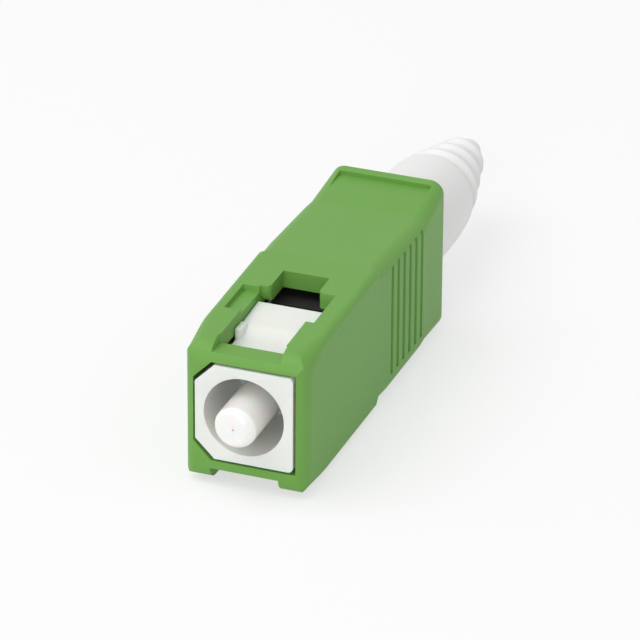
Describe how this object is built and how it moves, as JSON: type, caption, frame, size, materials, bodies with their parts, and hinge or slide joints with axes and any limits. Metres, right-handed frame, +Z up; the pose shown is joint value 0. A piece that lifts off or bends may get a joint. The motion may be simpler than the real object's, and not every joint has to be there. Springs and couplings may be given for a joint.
{
  "type": "sc fibre connector",
  "caption": "Push-pull fibre optic plug: square outer housing sliding on a latched frame, with a spring-loaded ceramic ferrule and a tapered strain-relief boot.",
  "frame": {"origin": "centre of the front face of the plug frame, on the ferrule's axis", "axes": "+Y from the ferrule to the boot, +Z up, -X the side of the polarity key"},
  "size_m": [0.0082, 0.0399, 0.0096],
  "materials": {
    "housing": "moulded, fine satin",
    "frame": "moulded, smooth",
    "zirconia": "ground ceramic, polished end",
    "flange": "turned",
    "guide_tube": "extruded fluoropolymer",
    "spring": "drawn wire",
    "stop_ring": "moulded, glass filled",
    "boot": "moulded, soft satin"
  },
  "bodies": {
    "core": {"plug_frame": "frame", "stop_ring": "stop_ring", "boot": "boot", "spring": "spring"},
    "housing": {"outer_housing": "housing"},
    "floating_ferrule": {"ferrule": "zirconia", "ferrule_flange": "flange", "guide_tube": "guide_tube"}
  },
  "joints": [
    {"name": "housing_slide", "type": "slide", "parent": "core", "child": "housing", "axis": [0, 1, 0], "range_m": [0, 0.0014]},
    {"name": "ferrule_float", "type": "slide", "parent": "core", "child": "floating_ferrule", "axis": [0, 1, 0], "range_m": [0, 0.0008], "stiffness_N_per_m": 1000, "deforming": ["spring"]}
  ]
}
